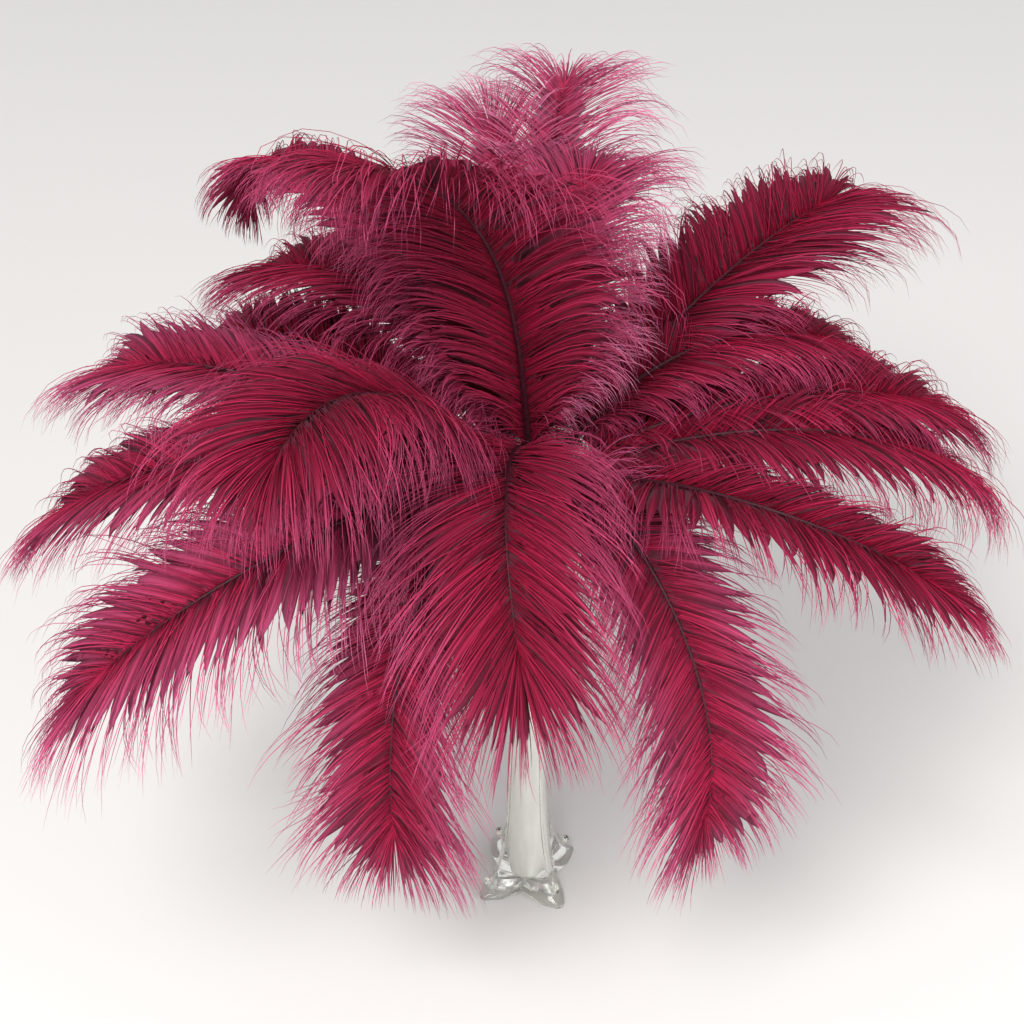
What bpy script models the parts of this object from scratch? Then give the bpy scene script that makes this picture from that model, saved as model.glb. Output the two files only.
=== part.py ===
"""A bouquet of dyed ostrich feathers standing in a tall footed glass vase.

Units are metres, +Z is up and the origin is the middle of the vase's foot, on the table.
Headings are degrees round the vase, from +X towards +Y. The front of the bouquet faces -Y.
"""

import math
from collections import namedtuple

import bmesh
import bpy
import numpy as np
from mathutils import Vector

# Driving sizes of the vase
VASE_HEIGHT = 0.508
FOOT_TURN = 36.0  # heading of the first of the four feet, degrees
FEET = 4
GLASS_GAP = 0.0004  # between the white core and its clear casing
CORE_WALL = 0.0025
FACETS = 24  # facets round the glass, a whole number to each foot
MERGE_DISTANCE = 0.0001
SHARP_EDGE = 40.0  # edges that bend more than this many degrees are drawn sharp

# Driving sizes of the feathers
THROAT_Z = 0.392  # the quills end here, where the bore narrows
IN_VASE = 0.125  # length of each shaft that is inside the vase
QUILL_RADIUS = 0.0021
LIP_RADIUS = 0.0025  # the shaft is thickest as it leaves the vase
SHAFT_TIP_RADIUS = 0.0008
SEAT_RINGS = ((1, 0.0), (7, 0.0053), (14, 0.0105))  # quills in each ring of the bundle, and its radius
INNER_SEAT_TURN = 26.0  # degrees that the inner ring is turned
START_LEAN = 3.0  # degrees from upright at the throat
LEAN_RATE = 3.0  # above 1, a quill leans late, in the flared mouth
SWING_RATE = 1.5  # above 1, a shaft turns sideways late
ROLL_RATE = 5.0  # above 1, a turned vane turns back late
SHAFT_STEPS = 240  # steps that the shaft's line is worked out in
QUILL_SECTIONS = (0.0, 0.075, 0.105, 0.125)  # distances from the quill's end to the bare shaft's sections
VANE_START = 0.160  # the first barbs grow here, clear of the vase's lip
VANE_STATIONS = 13  # sections along the vane, every second one a notch between two locks
NOTCH = 0.74  # a notch's share of the barbs' length
VANE_THICKNESS = 0.0012
EDGE_THICKNESS = 0.0007
NEIGHBOUR_ROOM = 0.005  # a vane point is this much nearer its own shaft than any other
BARB_STEPS = 30
BARB_BEND = 1.5  # above 1, a barb goes outwards first and bends down late
BARB_LIFT = 0.12  # a barb leaves the shaft with this rise before its weight pulls it down
LINE_POINTS = 60  # points on the shaft lines that the vanes keep clear of
VASE_ROOM = (0.060, 0.004)  # vanes stay outside this radius below this height over the lip
TIP_HALF_WIDTH = 0.006
TIP_SHARES = (-1.0, -0.5, 0.0, 0.5, 1.0)  # places of the tip's five points across its half width
TIP_SWEEP = 88.0  # the last barbs run almost straight on from the shaft, degrees from square
TIP_REACH = 0.68  # length of the last barbs, as a share of the longest ones
# Length of the barbs, as a share of the longest ones, at places from the vane's foot, 0, to its tip, 1
BARB_REACH = ((0.0, 0.50), (0.12, 0.80), (0.35, 1.0), (0.85, 1.02), (1.0, TIP_REACH))
# Degrees that the barbs lean from square to the shaft towards its tip, at the same kind of places
BARB_SWEEP = ((0.0, 36.0), (0.3, 36.0), (0.8, 43.0), (1.0, 58.0))
# Places of the ten points round a bare quill, in degrees, in the order of a vane's section
QUILL_ANGLES = (180, 144, 90, 36, 0, 324, 306, 270, 234, 216)

Feather = namedtuple("Feather", "name ring slot heading swing lean fall curl length barb droop roll")
# heading: the way it leaves the vase; swing: how far it turns sideways by its tip.
# lean and fall: degrees from upright at the lip and at the tip; curl: below 1 bends early, above 1 late.
# barb: length of the longest barbs, metres; droop: how far gravity pulls them down, 0 to 1.
# roll: degrees that the vane is turned about its shaft at the lip; towards the tip it turns back.
FEATHERS = [
    Feather("crown_back_mid", 0, 0, 66, 0, 5, 85, 2.3, 0.370, 0.115, 0.50, 0),
    Feather("crown_back_right", 1, 0, 86, -5, 22, 95, 1.9, 0.470, 0.115, 0.40, 0),
    Feather("crown_back_left", 1, 1, 98, 6, 19, 75, 1.8, 0.402, 0.115, 0.40, 0),
    Feather("back_left_low", 1, 2, 148, -3, 18, 119, 1.0, 0.420, 0.115, 0.50, 0),
    Feather("back_left_curl", 1, 3, 160, -36, 24, 169, 2.6, 0.540, 0.080, 0.60, 0),
    Feather("left_front", 1, 4, 215, 38, 36, 102, 1.8, 0.450, 0.140, 0.78, 0),
    Feather("front", 1, 5, 257, 29, 18, 151, 0.76, 0.413, 0.140, 0.50, 0),
    Feather("crown_front", 1, 6, 224, -12, 5, 73, 2.4, 0.485, 0.155, 0.76, -40),
    Feather("right_upper", 2, 0, -4, 31, 54, 122, 1.2, 0.450, 0.120, 0.65, 0),
    Feather("right_arc", 2, 1, 20, 0, 40, 130, 1.2, 0.415, 0.115, 0.68, 0),
    Feather("upper_right", 2, 2, 34, 17, 51, 98, 1.5, 0.475, 0.140, 0.48, 0),
    Feather("back_right", 2, 3, 64, 10, 45, 172, 0.55, 0.421, 0.115, 0.60, 0),
    Feather("back_mid", 2, 4, 95, -10, 44, 169, 0.55, 0.441, 0.115, 0.60, 0),
    Feather("back_left", 2, 5, 124, 14, 45, 164, 0.55, 0.456, 0.115, 0.60, 0),
    Feather("left_upper", 2, 6, 164, -25, 52, 143, 1.5, 0.450, 0.125, 0.40, 0),
    Feather("left_far", 2, 7, 191, -40, 55, 120, 2.1, 0.455, 0.115, 0.45, 0),
    Feather("left_side", 2, 8, 210, -50, 55, 136, 1.4, 0.510, 0.120, 0.60, 0),
    Feather("left_low", 2, 9, 229, -53, 56, 142, 0.95, 0.545, 0.132, 0.56, 20),
    Feather("front_left", 2, 10, 236, 28, 46, 190, 0.54, 0.503, 0.125, 0.46, 0),
    Feather("front_right", 2, 11, 303, 8, 46, 194, 0.68, 0.520, 0.112, 0.46, -32),
    Feather("right_low", 2, 12, 312, 49, 56, 131, 1.3, 0.495, 0.095, 0.55, 0),
    Feather("right_lower", 2, 13, 340, 45, 55, 132, 1.4, 0.462, 0.125, 0.78, 0),
]

# Colours, as linear red, green and blue, and how rough each surface is
DYED_BARBS = (0.30, 0.022, 0.068)
BARB_ROUGHNESS = 0.55
MILK_GLASS = (0.86, 0.86, 0.83)
MILK_ROUGHNESS = 0.15
CLEAR_GLASS = (0.93, 0.94, 0.90)
CLEAR_ROUGHNESS = 0.03

# Height, radius between the ridges and radius on the ridges of the clear glass, from foot to lip
CASING_PROFILE = [
    (0.010, 0.0280, 0.0510),
    (0.026, 0.0240, 0.0375),
    (0.050, 0.0215, 0.0290),
    (0.085, 0.0190, 0.0235),
    (0.150, 0.0170, 0.0200),
    (0.260, 0.0156, 0.0172),
    (0.340, 0.0163, 0.0174),
    (0.400, 0.0202, 0.0208),
    (0.450, 0.0285, 0.0287),
    (0.485, 0.0410, 0.0410),
    (VASE_HEIGHT, 0.0550, 0.0550),
]
# Height and outer radius of the white core, from its rounded bottom to the lip
CORE_PROFILE = [
    (0.010, 0.0090),
    (0.014, 0.0145),
    (0.028, 0.0168),
    (0.100, 0.0153),
    (0.180, 0.0134),
    (0.260, 0.0127),
    (0.340, 0.0134),
    (0.400, 0.0174),
    (0.450, 0.0258),
    (0.485, 0.0382),
    (VASE_HEIGHT, 0.0522),
]
FOOT_RIM = (0.0300, 0.0580)  # radius of the casing's lower rim between two feet, and at a foot
HOLLOW_SHARE = 0.75  # the flat underside starts at this share of the rim's radius
RIDGE_SHARPNESS = 1.7  # 1 gives flat faces between the ridges, more makes them hollow
FOOT_HALF_WIDTH = 16.0  # degrees of the rim that a foot stands on, each side of its ridge
ARCH_HEIGHT = 0.004  # the rim between two feet clears the table by this much


def clear_scene():
    for thing in list(bpy.data.objects):
        bpy.data.objects.remove(thing, do_unlink=True)


def new_material(name, colour, roughness, transmission=0.0):
    material = bpy.data.materials.new(name)
    material.use_nodes = True
    shader = material.node_tree.nodes["Principled BSDF"]
    shader.inputs["Base Color"].default_value = (*colour, 1.0)
    shader.inputs["Roughness"].default_value = roughness
    shader.inputs["Metallic"].default_value = 0.0
    shader.inputs["Transmission Weight"].default_value = transmission
    return material


def loft(name, rings, collection, material, two_sided=False):
    """One closed skin over rings of points, every ring with the same number of points.

    In a two-sided loft the second half of each ring runs back under the first. Its faces are split
    like those above them, so that the upper and the lower side of a thin vane never meet.
    """
    mesh = bpy.data.meshes.new(name)
    shape = bmesh.new()
    rows = [[shape.verts.new(Vector(point)) for point in ring] for ring in rings]
    count = len(rows[0])
    for low, high in zip(rows, rows[1:]):
        for i in range(count):
            j = (i + 1) % count
            if two_sided and i >= count // 2:
                shape.faces.new((low[i], low[j], high[i]))
                shape.faces.new((low[j], high[j], high[i]))
            elif two_sided:
                shape.faces.new((low[i], low[j], high[j]))
                shape.faces.new((low[i], high[j], high[i]))
            else:
                shape.faces.new((low[i], low[j], high[j], high[i]))
    shape.faces.new(list(reversed(rows[0])))
    shape.faces.new(rows[-1])
    bmesh.ops.recalc_face_normals(shape, faces=shape.faces)
    shape.to_mesh(mesh)
    shape.free()
    mesh.shade_smooth()
    mesh.set_sharp_from_angle(angle=math.radians(SHARP_EDGE))
    thing = bpy.data.objects.new(name, mesh)
    thing.data.materials.append(material)
    collection.objects.link(thing)
    return thing


# The vase


def ridge_share(offset):
    """1 on a ridge, falling to 0 midway between two ridges, for an offset in degrees."""
    half = 180.0 / FEET
    return (1.0 - min(abs(offset), half) / half) ** RIDGE_SHARPNESS


def casing_headings():
    """Headings round the casing, as pairs of heading and offset from the nearest ridge."""
    step = 360.0 / FACETS
    places = [step * i - 180.0 / FEET for i in range(FACETS // FEET)]
    return [(FOOT_TURN + 360.0 / FEET * foot + offset, offset) for foot in range(FEET) for offset in places]


def ridged_ring(between_ridges, on_ridges, height, arch=0.0):
    """A ring of the casing; its points are raised by the arch where they aren't on a foot."""
    ring = []
    for heading, offset in casing_headings():
        radius = between_ridges + (on_ridges - between_ridges) * ridge_share(offset)
        angle = math.radians(heading)
        rise = 0.0 if abs(offset) <= FOOT_HALF_WIDTH else arch
        ring.append((radius * math.cos(angle), radius * math.sin(angle), height + rise))
    return ring


def build_casing(collection, material):
    """Clear glass: four pulled feet, ridges that fade up the stem, and a trumpet mouth round the core."""
    face, ridge = FOOT_RIM
    rings = [ridged_ring(face * HOLLOW_SHARE, ridge * HOLLOW_SHARE, 0.0)]
    rings.append(ridged_ring(face, ridge, 0.0, ARCH_HEIGHT))
    rings += [ridged_ring(face, ridge, height) for height, face, ridge in CASING_PROFILE]
    for height, radius in reversed(CORE_PROFILE):
        pocket = radius + GLASS_GAP
        drop = 0.0 if height > CORE_PROFILE[0][0] else GLASS_GAP
        rings.append(ridged_ring(pocket, pocket, height - drop))
    return loft("vase_clear_casing", rings, collection, material)


def build_core(collection, material):
    """White glass: a hollow, round-bottomed tube turned about the vase's axis."""
    outside = [(radius, height) for height, radius in reversed(CORE_PROFILE)]
    inside = [(radius - CORE_WALL, height) for height, radius in CORE_PROFILE[2:]]
    bottom = CORE_PROFILE[0][0]
    profile = [(0.0, bottom + 2 * CORE_WALL)] + inside + outside + [(0.0, bottom)]
    mesh = bpy.data.meshes.new("vase_white_core")
    line = bmesh.new()
    points = [line.verts.new((radius, 0.0, height)) for radius, height in profile]
    for first, second in zip(points, points[1:]):
        line.edges.new((first, second))
    line.to_mesh(mesh)
    line.free()
    core = bpy.data.objects.new("vase_white_core", mesh)
    core.data.materials.append(material)
    collection.objects.link(core)
    turn = core.modifiers.new("turn", "SCREW")
    turn.steps = FACETS
    turn.render_steps = FACETS
    turn.use_merge_vertices = True
    turn.merge_threshold = MERGE_DISTANCE
    core.rotation_euler.z = math.radians(FOOT_TURN)
    return core


# The feathers


def seat_of(feather):
    """Where the quill's end stands in the bundle, in the throat of the vase."""
    count, radius = SEAT_RINGS[feather.ring]
    turn = INNER_SEAT_TURN if feather.ring == 1 else 0.0
    angle = math.radians(turn + 360.0 * feather.slot / count)
    return np.array([radius * math.cos(angle), radius * math.sin(angle), THROAT_Z])


def shaft_line(feather, distances):
    """Points, directions and sideways directions of the shaft at these distances from the quill's end."""
    steps = np.linspace(0.0, feather.length, SHAFT_STEPS + 1)
    in_vase = np.clip(steps / IN_VASE, 0.0, 1.0)
    outside = np.clip((steps - IN_VASE) / (feather.length - IN_VASE), 0.0, 1.0)
    lean = START_LEAN + (feather.lean - START_LEAN) * in_vase**LEAN_RATE
    lean = np.radians(lean + (feather.fall - feather.lean) * outside**feather.curl)
    heading = np.radians(feather.heading + feather.swing * outside**SWING_RATE)
    level = np.sin(lean)
    along = np.stack([level * np.cos(heading), level * np.sin(heading), np.cos(lean)], axis=-1)
    moves = (along[1:] + along[:-1]) / 2 * np.diff(steps)[:, None]
    points = seat_of(feather) + np.vstack([np.zeros(3), np.cumsum(moves, axis=0)])
    side = np.stack([np.sin(heading), -np.cos(heading), np.zeros_like(heading)], axis=-1)

    def at(values):
        return np.stack([np.interp(distances, steps, values[:, k]) for k in range(3)], axis=-1)

    return at(points), at(along), at(side)


def unit(vectors):
    return vectors / np.linalg.norm(vectors, axis=-1, keepdims=True)


def shaft_radius(feather, distances):
    return np.interp(distances, [0.0, IN_VASE, feather.length], [QUILL_RADIUS, LIP_RADIUS, SHAFT_TIP_RADIUS])


def along_vane(share, table):
    """The value of a table of places and values at this share of the vane."""
    places, values = zip(*table)
    return float(np.interp(share, places, values))


def barb_line(root, along, side, up, sweep, reach, droop):
    """A barb's points from the shaft outwards: it leaves at its sweep and is bent down by its weight."""
    angle = math.radians(sweep)
    start = side * math.cos(angle) + along * math.sin(angle) + up * BARB_LIFT
    steps = np.linspace(0.0, 1.0, BARB_STEPS + 1)[:, None]
    pull = droop * steps**BARB_BEND
    directions = unit(start * (1 - pull) + np.array([0.0, 0.0, -1.0]) * pull)
    moves = (directions[1:] + directions[:-1]) / 2 * (reach / BARB_STEPS)
    return root + np.vstack([np.zeros(3), np.cumsum(moves, axis=0)])


def roll_about(along, side, degrees):
    """The side and up directions of a vane turned about its shaft."""
    up = unit(np.cross(side, along))
    side = unit(np.cross(along, up))
    angle = math.radians(degrees)
    return side * math.cos(angle) + up * math.sin(angle), up * math.cos(angle) - side * math.sin(angle)


def distance_to_line(points, line):
    """Distance from each point to the nearest place on a line of points."""
    start, step = line[:-1], np.diff(line, axis=0)
    from_start = points[:, None, :] - start[None]
    share = np.clip((from_start * step).sum(-1) / (step**2).sum(-1), 0.0, 1.0)
    return np.linalg.norm(from_start - share[..., None] * step, axis=-1).min(axis=1)


def open_length(points, own, others):
    """How many steps a barb can go before it is no longer clearly nearer its own shaft than any other."""
    own_distance = distance_to_line(points, own)
    nearest_other = np.min([distance_to_line(points, line) for line in others], axis=0)
    beside_vase = np.hypot(points[:, 0], points[:, 1]) < VASE_ROOM[0]
    beside_vase &= points[:, 2] < VASE_HEIGHT + VASE_ROOM[1]
    blocked = np.nonzero((nearest_other < own_distance + NEIGHBOUR_ROOM) | beside_vase)[0]
    return len(points) - 1 if len(blocked) == 0 else max(int(blocked[0]) - 1, 0)


def quill_ring(point, along, side, radius):
    """Ten points round a bare quill, in the same order as a vane's section."""
    up = unit(np.cross(side, along))
    return [point + radius * (math.cos(a) * side + math.sin(a) * up) for a in np.radians(QUILL_ANGLES)]


def between(rows, place):
    """The row at this place, which may lie between two rows."""
    low = int(place)
    return rows[low] if low == place else (rows[low] + rows[low + 1]) / 2


def tip_row(feather, point, along, side, own, others):
    """The narrow end of the last barbs, past the shaft's own end."""
    side, up = roll_about(along, side, 0.0)
    line = barb_line(point, along, side, up, TIP_SWEEP, feather.barb * TIP_REACH, feather.droop)
    last = max(open_length(line, own, others), 1)
    across = unit(np.cross(line[last] - line[last - 1], up))
    return [line[last] + across * TIP_HALF_WIDTH * share for share in TIP_SHARES]


def facing(sheet):
    """The direction that each point of a grid of points faces, as the mean of the faces round it."""
    low, high = sheet[:-1], sheet[1:]
    near = np.cross(low[:, 1:] - low[:, :-1], high[:, 1:] - low[:, :-1])
    far = np.cross(high[:, 1:] - low[:, :-1], high[:, :-1] - low[:, :-1])
    total = np.zeros_like(sheet)
    for faces, corners in ((near, ((0, 0), (0, 1), (1, 1))), (far, ((0, 0), (1, 1), (1, 0)))):
        for row, column in corners:
            total[row : row + len(low), column : column + faces.shape[1]] += unit(faces)
    return unit(total)


def build_feather(feather, lines, collection, material):
    """One feather: a round quill that opens into two drooping vanes with notched edges."""
    own = lines[feather.name]
    others = [line for name, line in lines.items() if name != feather.name]
    distances = np.array(QUILL_SECTIONS)
    radii = shaft_radius(feather, distances)
    rings = [quill_ring(*section) for section in zip(*shaft_line(feather, distances), radii)]
    distances = np.linspace(VANE_START, feather.length, VANE_STATIONS)
    points, alongs, sides = shaft_line(feather, distances)
    radii = shaft_radius(feather, distances)
    sheet = []
    for station, (point, along, side, radius) in enumerate(zip(points, alongs, sides, radii)):
        share = station / (VANE_STATIONS - 1)
        side, up = roll_about(along, side, feather.roll * (1 - share**ROLL_RATE))
        sweep = along_vane(share, BARB_SWEEP)
        reach = feather.barb * along_vane(share, BARB_REACH) * (1.0 if station % 2 == 0 else NOTCH)
        halves = []
        for way in (-1.0, 1.0):
            root = point + side * way * radius
            line = barb_line(root, along, side * way, up, sweep, reach, feather.droop)
            last = max(open_length(line, own, others), 1)
            halves.append((between(line, last), between(line, last / 2)))
        (left_edge, left_middle), (right_edge, right_middle) = halves
        sheet.append([left_edge, left_middle, point, right_middle, right_edge])
    sheet.append(tip_row(feather, points[-1], alongs[-1], sides[-1], own, others))
    sheet = np.array(sheet)
    half = np.full(sheet.shape[:2], VANE_THICKNESS / 2)
    half[:, [0, 4]] = EDGE_THICKNESS / 2
    half[:-1, 2] = radii
    lift = facing(sheet) * half[..., None]
    for above, below in zip(sheet + lift, sheet - lift):
        rings.append([*above, *below[::-1]])
    return loft("feather_" + feather.name, rings, collection, material, two_sided=True)


def build():
    clear_scene()
    bouquet = bpy.data.collections.new("ostrich_feather_bouquet")
    bpy.context.scene.collection.children.link(bouquet)
    barbs = new_material("dyed_barbs", DYED_BARBS, BARB_ROUGHNESS)
    white = new_material("milk_glass", MILK_GLASS, MILK_ROUGHNESS)
    clear = new_material("clear_glass", CLEAR_GLASS, CLEAR_ROUGHNESS, transmission=1.0)
    build_casing(bouquet, clear)
    build_core(bouquet, white)
    lines = {f.name: shaft_line(f, np.linspace(0.0, f.length, LINE_POINTS))[0] for f in FEATHERS}
    for feather in FEATHERS:
        build_feather(feather, lines, bouquet, barbs)


build()
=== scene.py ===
# %% [markdown]
# # A bouquet of dyed ostrich plumes in a footed glass vase
#
# This lesson dresses a plain model of twenty-two plumes standing in a tall trumpet vase.
# The plain model gives every plume's shaft line and the spread of its vanes. What the eye
# reads as feather is finer than that: hundreds of loose barbs that hang side by side.
# We grow those barbs as real mesh, pour the glass, and light it as a small studio would.

import math
from collections import namedtuple

import bpy
import numpy as np
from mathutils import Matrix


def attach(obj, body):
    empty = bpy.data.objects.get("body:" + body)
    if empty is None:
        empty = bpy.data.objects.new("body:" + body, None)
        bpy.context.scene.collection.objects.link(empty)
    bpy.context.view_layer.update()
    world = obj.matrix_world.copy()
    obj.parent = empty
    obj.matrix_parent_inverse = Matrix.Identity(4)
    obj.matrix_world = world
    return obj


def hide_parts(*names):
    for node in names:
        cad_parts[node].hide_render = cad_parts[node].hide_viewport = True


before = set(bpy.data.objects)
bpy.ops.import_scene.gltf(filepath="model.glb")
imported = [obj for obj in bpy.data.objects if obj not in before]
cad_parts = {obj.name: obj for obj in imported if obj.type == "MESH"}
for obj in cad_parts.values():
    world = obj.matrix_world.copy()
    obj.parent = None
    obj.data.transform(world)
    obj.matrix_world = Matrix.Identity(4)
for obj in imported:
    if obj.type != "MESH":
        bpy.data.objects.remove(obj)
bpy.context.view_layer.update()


# %% [markdown]
# ## The table of plumes
#
# A plume's shaft is a gentle spring. Its quill stands nearly upright in the throat of the
# vase, leans outwards inside the flared mouth, and bends over under the weight of its vane.
# Each could be drawn by hand as a curve, but three angles and two rates describe it as well
# and can be read, so each plume is one line of a table. These are the plain model's values.
#
# `ring` and `slot` say where the quill stands in the bundle, `heading` which way the plume
# leans and `swing` how far it turns on the way. It starts at `lean` degrees from upright and
# ends at `fall`, late if `curl` is high. `length` is the shaft's and `barb` the longest
# barb's. `droop` says how much the barbs hang, and `roll` turns the vane about its shaft.

# %% The plumes
Plume = namedtuple("Plume", "name ring slot heading swing lean fall curl length barb droop roll")
PLUMES = [
    Plume("crown_back_mid", 0, 0, 66, 0, 5, 85, 2.3, 0.370, 0.115, 0.50, 0),
    Plume("crown_back_right", 1, 0, 86, -5, 22, 95, 1.9, 0.470, 0.115, 0.40, 0),
    Plume("crown_back_left", 1, 1, 98, 6, 19, 75, 1.8, 0.402, 0.115, 0.40, 0),
    Plume("back_left_low", 1, 2, 148, -3, 18, 119, 1.0, 0.420, 0.115, 0.50, 0),
    Plume("back_left_curl", 1, 3, 160, -36, 24, 169, 2.6, 0.540, 0.080, 0.60, 0),
    Plume("left_front", 1, 4, 215, 38, 36, 102, 1.8, 0.450, 0.140, 0.78, 0),
    Plume("front", 1, 5, 257, 29, 18, 151, 0.76, 0.413, 0.140, 0.50, 0),
    Plume("crown_front", 1, 6, 224, -12, 5, 73, 2.4, 0.485, 0.155, 0.76, -40),
    Plume("right_upper", 2, 0, -4, 31, 54, 122, 1.2, 0.450, 0.120, 0.65, 0),
    Plume("right_arc", 2, 1, 20, 0, 40, 130, 1.2, 0.415, 0.115, 0.68, 0),
    Plume("upper_right", 2, 2, 34, 17, 51, 98, 1.5, 0.475, 0.140, 0.48, 0),
    Plume("back_right", 2, 3, 64, 10, 45, 172, 0.55, 0.421, 0.115, 0.60, 0),
    Plume("back_mid", 2, 4, 95, -10, 44, 169, 0.55, 0.441, 0.115, 0.60, 0),
    Plume("back_left", 2, 5, 124, 14, 45, 164, 0.55, 0.456, 0.115, 0.60, 0),
    Plume("left_upper", 2, 6, 164, -25, 52, 143, 1.5, 0.450, 0.125, 0.40, 0),
    Plume("left_far", 2, 7, 191, -40, 55, 120, 2.1, 0.455, 0.115, 0.45, 0),
    Plume("left_side", 2, 8, 210, -50, 55, 136, 1.4, 0.510, 0.120, 0.60, 0),
    Plume("left_low", 2, 9, 229, -53, 56, 142, 0.95, 0.545, 0.132, 0.56, 20),
    Plume("front_left", 2, 10, 236, 28, 46, 190, 0.54, 0.503, 0.125, 0.46, 0),
    Plume("front_right", 2, 11, 303, 8, 46, 194, 0.68, 0.520, 0.112, 0.46, -32),
    Plume("right_low", 2, 12, 312, 49, 56, 131, 1.3, 0.495, 0.095, 0.55, 0),
    Plume("right_lower", 2, 13, 340, 45, 55, 132, 1.4, 0.462, 0.125, 0.78, 0),
]
print(len(PLUMES), "plumes, longest", max(plume.length for plume in PLUMES), "m")

# %% [markdown]
# ## The shafts
#
# The quills stand in rings in the vase's throat. From there a shaft is the running sum of
# its directions: many small steps, each leaning a little more than the last. This keeps its
# length true however far it bends, which a curve through hand-placed points wouldn't.

# %% Where the quills stand
THROAT_Z = 0.392
SEAT_RINGS = ((1, 0.0), (7, 0.0053), (14, 0.0105))  # how many quills, and at which radius
INNER_SEAT_TURN = 26.0


def seat_of(plume):
    """Where the quill's end stands in the bundle."""
    count, radius = SEAT_RINGS[plume.ring]
    turn = INNER_SEAT_TURN if plume.ring == 1 else 0.0
    angle = math.radians(turn + 360.0 * plume.slot / count)
    return np.array([radius * math.cos(angle), radius * math.sin(angle), THROAT_Z])


print("quills stand within", SEAT_RINGS[-1][1], "m of the axis")

# %% Shaft lines
IN_VASE = 0.125  # length of shaft below the lip
START_LEAN = 3.0
LEAN_RATE = 3
SWING_RATE = 1.5
SHAFT_SAMPLES = 241
SAMPLES_FOR_NEIGHBOURS = 60  # enough to find which shaft is nearest


def shaft_line(plume, distances):
    """The shaft's points, directions and sideways directions this far from the quill's end."""
    steps = np.linspace(0.0, plume.length, SHAFT_SAMPLES)
    in_vase = np.clip(steps / IN_VASE, 0.0, 1.0)
    outside = np.clip((steps - IN_VASE) / (plume.length - IN_VASE), 0.0, 1.0)
    lean = START_LEAN + (plume.lean - START_LEAN) * in_vase**LEAN_RATE
    lean = np.radians(lean + (plume.fall - plume.lean) * outside**plume.curl)
    heading = np.radians(plume.heading + plume.swing * outside**SWING_RATE)
    flat = np.stack([np.cos(heading), np.sin(heading), np.zeros_like(heading)], axis=-1)
    along = flat * np.sin(lean)[:, None] + np.array([0.0, 0.0, 1.0]) * np.cos(lean)[:, None]
    moves = (along[1:] + along[:-1]) / 2 * np.diff(steps)[:, None]
    points = seat_of(plume) + np.vstack([np.zeros(3), np.cumsum(moves, axis=0)])
    side = np.stack([np.sin(heading), -np.cos(heading), np.zeros_like(heading)], axis=-1)

    def at(values):
        return np.stack([np.interp(distances, steps, values[:, k]) for k in range(3)], axis=-1)

    return at(points), at(along), at(side)


shaft_lines = {}
for plume in PLUMES:
    shaft_lines[plume.name] = shaft_line(plume, np.linspace(0.0, plume.length, SAMPLES_FOR_NEIGHBOURS))[0]
print("highest shaft point", round(max(line[:, 2].max() for line in shaft_lines.values()), 3), "m")

# %% [markdown]
# ## Mesh from arrays
#
# A plume has about seven hundred barbs, so the bouquet has more than fifteen thousand.
# Adding each as its own curve object would be slow to make and slow to render. Instead every
# barb is a row in a numpy array, and one helper turns all rows of a plume into one mesh in a
# single step. A barb is a three-sided tapering tube: at this size three sides read as round.
# All shapes are closed, so that each is a real body with an inside.

# %% A mesh object from arrays


def unit(vectors):
    return vectors / np.maximum(np.linalg.norm(vectors, axis=-1, keepdims=True), 1e-9)


def new_mesh_object(name, points, triangles, layers=None, smooth=True):
    """A mesh object from points and triangles, with one named number a point for each layer."""
    mesh = bpy.data.meshes.new(name)
    mesh.vertices.add(len(points))
    mesh.vertices.foreach_set("co", np.asarray(points, dtype=np.float32).ravel())
    mesh.loops.add(triangles.size)
    mesh.loops.foreach_set("vertex_index", triangles.astype(np.int32).ravel())
    mesh.polygons.add(len(triangles))
    mesh.polygons.foreach_set("loop_start", np.arange(0, triangles.size, 3, dtype=np.int32))
    mesh.polygons.foreach_set("use_smooth", np.full(len(triangles), smooth))
    for layer, values in (layers or {}).items():
        data = mesh.attributes.new(layer, "FLOAT", "POINT").data
        data.foreach_set("value", values.astype(np.float32))
    mesh.update(calc_edges=True)
    thing = bpy.data.objects.new(name, mesh)
    bpy.context.scene.collection.objects.link(thing)
    return thing


def joined(pieces):
    """One set of points, triangles and layers from several."""
    points, triangles, layers, count = [], [], {}, 0
    for piece_points, piece_triangles, piece_layers in pieces:
        points.append(piece_points)
        triangles.append(piece_triangles + count)
        count += len(piece_points)
        for layer, values in piece_layers.items():
            layers.setdefault(layer, []).append(values)
    layers = {layer: np.concatenate(values) for layer, values in layers.items()}
    return np.concatenate(points), np.concatenate(triangles), layers


print("mesh helpers ready")

# %% Closed tubes over rings of points


def turned_out(points, triangles):
    """The triangles of closed shapes, turned round where they face inwards."""
    a, b, c = (points[triangles[:, k]] for k in range(3))
    faces_out = np.einsum("ij,ij->", a, np.cross(b, c)) > 0
    return triangles if faces_out else triangles[:, ::-1].copy()


def tube_faces(rings):
    """Points and outward triangles of closed tubes: rings is (tube, step, side, xyz)."""
    count, steps, sides = rings.shape[:3]
    tube_start = np.arange(count)[:, None, None] * steps
    first = (tube_start + np.arange(steps - 1)[None, :, None]) * sides
    here = np.arange(sides)[None, None, :]
    after = (here + 1) % sides
    a, b, c, d = first + here, first + after, first + sides + after, first + sides + here
    walls = np.stack([np.stack([a, b, c], -1), np.stack([a, c, d], -1)], 3).reshape(-1, 3)
    fan = np.array([[0, k + 1, k] for k in range(1, sides - 1)])
    start = tube_start * sides
    near, far = start + fan[None], start + (steps - 1) * sides + fan[None, :, ::-1]
    points = rings.reshape(-1, 3)
    return points, turned_out(points, np.concatenate([walls, np.concatenate([near, far]).reshape(-1, 3)]))


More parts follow.
